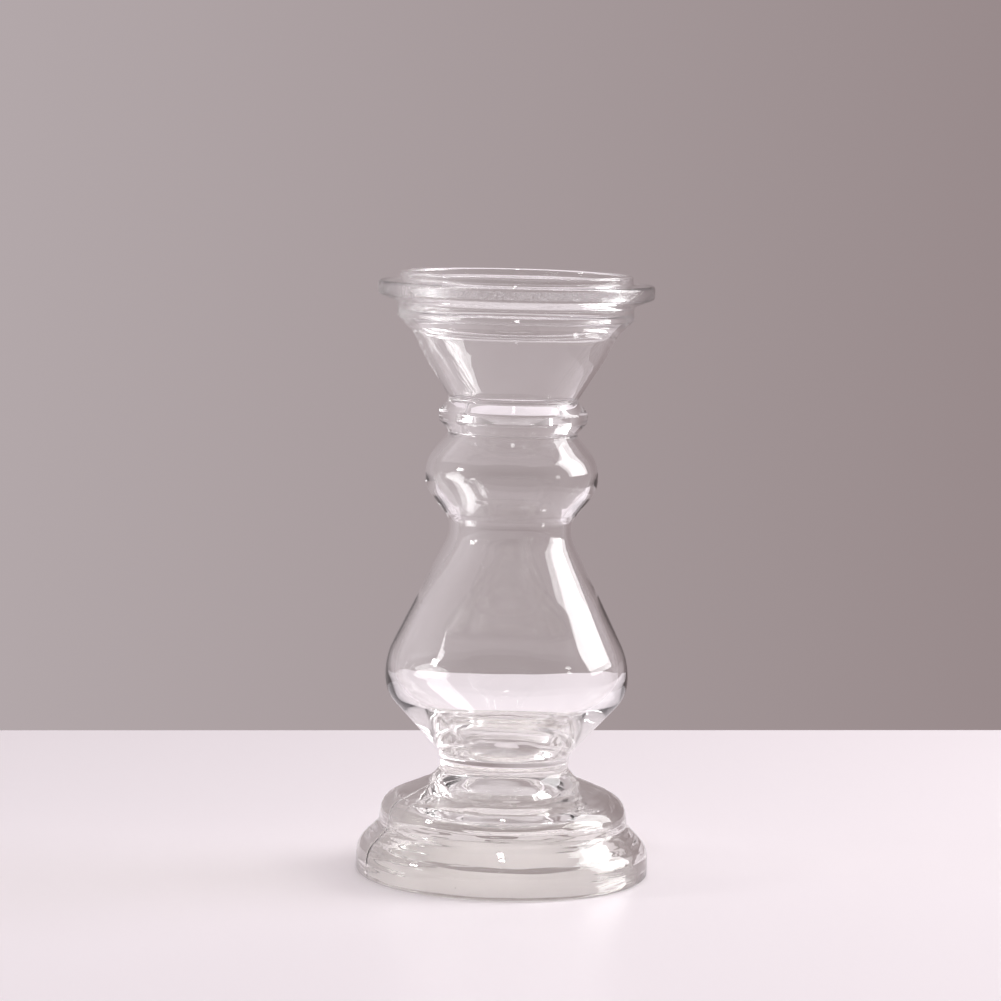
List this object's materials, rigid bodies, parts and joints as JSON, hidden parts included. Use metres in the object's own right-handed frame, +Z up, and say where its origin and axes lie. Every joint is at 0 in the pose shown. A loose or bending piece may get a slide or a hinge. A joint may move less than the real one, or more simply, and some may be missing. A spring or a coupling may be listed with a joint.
{
  "type": "glass candlestick",
  "caption": "Clear glass pillar candlestick: two-tier hollow foot, open baluster body with pear, bulb and beaded collar, and a flanged cup with an inner ledge for the candle.",
  "frame": {"origin": "centre of the foot's bearing ring, on the table", "axes": "+Z up from the table; both pieces are round about Z, so X and Y are any two level directions"},
  "size_m": [0.1, 0.1, 0.2056],
  "materials": {
    "clear_glass": "fire-polished soda-lime glass, faintly green where thick"
  },
  "bodies": {
    "root": {"blown_body": "clear_glass", "pressed_foot": "clear_glass"}
  },
  "joints": []
}
